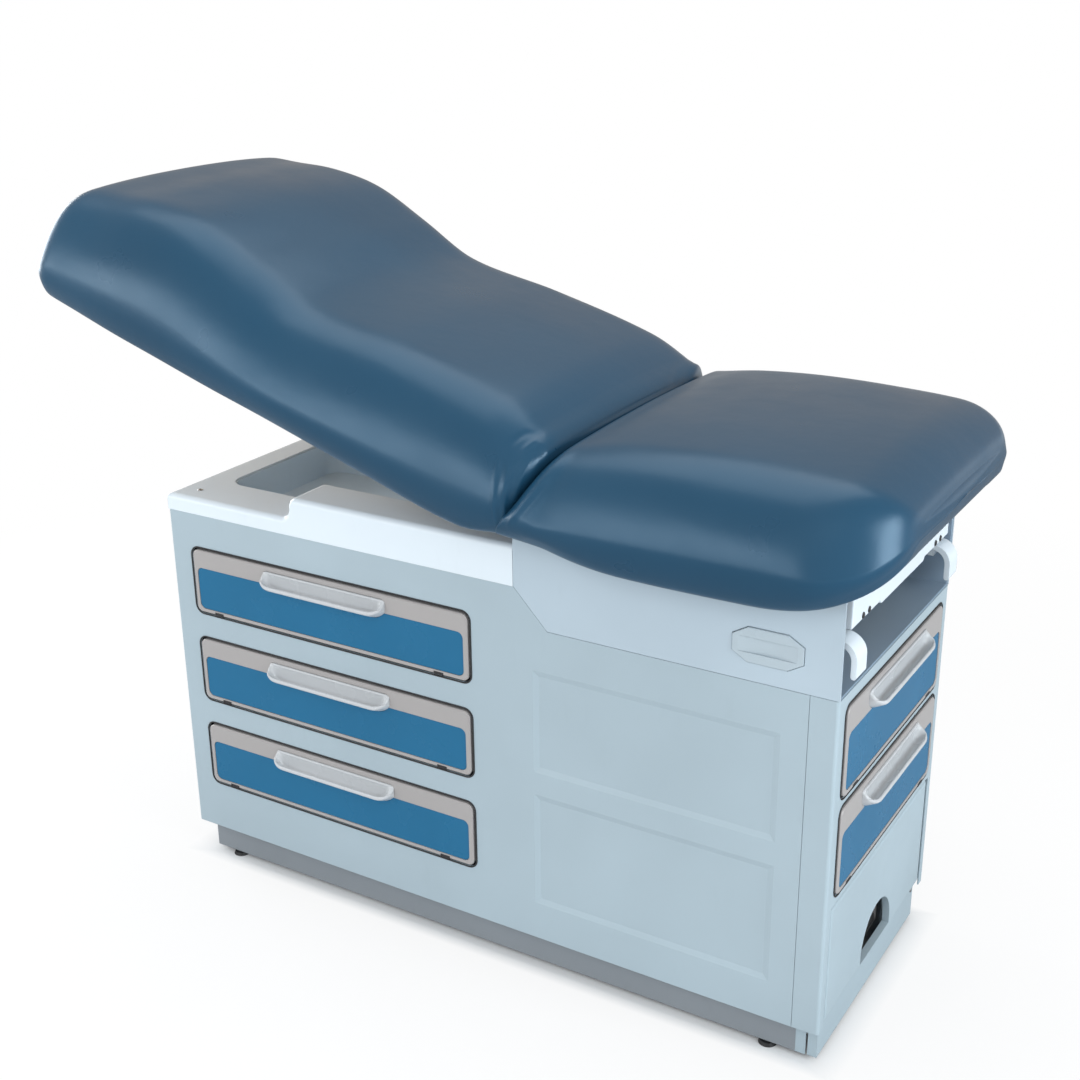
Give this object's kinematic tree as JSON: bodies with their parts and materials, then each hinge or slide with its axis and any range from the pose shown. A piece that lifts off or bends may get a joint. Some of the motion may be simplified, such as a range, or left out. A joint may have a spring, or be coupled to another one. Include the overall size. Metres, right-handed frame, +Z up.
{
  "type": "gynecological examination table",
  "caption": "Examination table with a drawer cabinet, hinged back section, padded seat, pull-out leg rest, stirrups and step",
  "frame": {"origin": "middle of the table's footprint box, on the floor", "axes": "+X towards the foot end, -Y towards the side drawers, +Z up"},
  "size_m": [1.4022, 0.5992, 1.1297],
  "materials": {
    "painted_steel": "satin",
    "white_moulding": "gloss",
    "grey_liner": "gloss",
    "zinc_steel": "satin",
    "chromed_steel": "polished",
    "black_steel": "satin",
    "vinyl_foam": "satin",
    "plywood": "matte",
    "black_rubber": "matte",
    "drawer_frame": "satin",
    "blue_panel": "gloss",
    "handle_white": "gloss"
  },
  "bodies": {
    "cabinet": {"plinth_base": "painted_steel", "levelling_feet": "black_rubber", "side_panel_near": "painted_steel", "side_panel_far": "painted_steel", "head_panel": "painted_steel", "cabinet_floor": "painted_steel", "bulkhead": "painted_steel", "front_frame": "painted_steel", "head_cover": "white_moulding", "well_tray": "grey_liner", "side_cover_near": "white_moulding", "side_cover_far": "white_moulding", "cover_caps": "white_moulding", "slot_liner": "grey_liner", "seat_frame": "black_steel", "hinge_pins": "zinc_steel", "seat_board": "plywood", "seat_cushion": "vinyl_foam", "spring_bracket": "zinc_steel", "side_runners": "zinc_steel", "foot_runners": "zinc_steel", "stirrup_sleeves": "zinc_steel"},
    "back": {"back_frame": "black_steel", "back_board": "plywood", "back_cushion": "vinyl_foam", "lever_bracket": "black_steel"},
    "release_lever": {"release_lever": "black_steel"},
    "spring_rod": {"gas_rod": "chromed_steel"},
    "spring_cylinder": {"gas_cylinder": "black_steel"},
    "side_drawer_low": {"side_drawer_low_front": "drawer_frame", "side_drawer_low_inset": "blue_panel", "side_drawer_low_handle": "handle_white", "side_drawer_low_box": "zinc_steel"},
    "side_drawer_middle": {"side_drawer_middle_front": "drawer_frame", "side_drawer_middle_inset": "blue_panel", "side_drawer_middle_handle": "handle_white", "side_drawer_middle_box": "zinc_steel"},
    "side_drawer_top": {"side_drawer_top_front": "drawer_frame", "side_drawer_top_inset": "blue_panel", "side_drawer_top_handle": "handle_white", "side_drawer_top_box": "zinc_steel"},
    "foot_drawer_low": {"foot_drawer_low_front": "drawer_frame", "foot_drawer_low_inset": "blue_panel", "foot_drawer_low_handle": "handle_white", "foot_drawer_low_box": "zinc_steel"},
    "foot_drawer_top": {"foot_drawer_top_front": "drawer_frame", "foot_drawer_top_inset": "blue_panel", "foot_drawer_top_handle": "handle_white", "foot_drawer_top_box": "zinc_steel"},
    "leg_rest": {"leg_rest_board": "plywood", "leg_rest_pad": "vinyl_foam", "leg_rest_handle": "white_moulding"},
    "stirrup_near": {"stirrup_arm_near": "chromed_steel", "heel_cup_near": "white_moulding"},
    "stirrup_far": {"stirrup_arm_far": "chromed_steel", "heel_cup_far": "white_moulding"},
    "step": {"step_front": "white_moulding", "step_box": "painted_steel", "step_mat": "black_rubber"}
  },
  "joints": [
    {"name": "back_lift", "type": "hinge", "parent": "cabinet", "child": "back", "pos_m": [0.15715, 0, 0.803], "axis": [0, 1, 0], "range_deg": [-15, 60]},
    {"name": "spring_rod_turn", "type": "hinge", "parent": "back", "child": "spring_rod", "pos_m": [0.05314, 0, 0.76719], "axis": [0, 1, 0], "range_deg": [-58, 15]},
    {"name": "spring_slide", "type": "slide", "parent": "spring_rod", "child": "spring_cylinder", "axis": [0.1544, 0, -0.988], "range_m": [-0.03, 0.11]},
    {"name": "lever_squeeze", "type": "hinge", "parent": "back", "child": "release_lever", "pos_m": [-0.60749, 0, 0.9437], "axis": [0, 1, 0], "range_deg": [0, 8], "stiffness_Nm_per_rad": 4},
    {"name": "side_drawer_low_pull", "type": "slide", "parent": "cabinet", "child": "side_drawer_low", "axis": [0, -1, 0], "range_m": [0, 0.3]},
    {"name": "side_drawer_middle_pull", "type": "slide", "parent": "cabinet", "child": "side_drawer_middle", "axis": [0, -1, 0], "range_m": [0, 0.3]},
    {"name": "side_drawer_top_pull", "type": "slide", "parent": "cabinet", "child": "side_drawer_top", "axis": [0, -1, 0], "range_m": [0, 0.3]},
    {"name": "foot_drawer_low_pull", "type": "slide", "parent": "cabinet", "child": "foot_drawer_low", "axis": [1, 0, 0], "range_m": [0, 0.36]},
    {"name": "foot_drawer_top_pull", "type": "slide", "parent": "cabinet", "child": "foot_drawer_top", "axis": [1, 0, 0], "range_m": [0, 0.36]},
    {"name": "leg_rest_pull", "type": "slide", "parent": "cabinet", "child": "leg_rest", "axis": [1, 0, 0], "range_m": [0, 0.34]},
    {"name": "stirrup_near_pull", "type": "slide", "parent": "cabinet", "child": "stirrup_near", "axis": [1, 0, 0], "range_m": [0, 0.33]},
    {"name": "stirrup_far_pull", "type": "slide", "parent": "cabinet", "child": "stirrup_far", "axis": [1, 0, 0], "range_m": [0, 0.33]},
    {"name": "step_pull", "type": "slide", "parent": "cabinet", "child": "step", "axis": [1, 0, 0], "range_m": [0, 0.28]}
  ],
  "couplings": [
    {"joint": "spring_rod_turn", "follows": "back_lift", "ratio": -0.96},
    {"joint": "spring_slide", "follows": "back_lift", "m_per_rad": 0.10141}
  ]
}
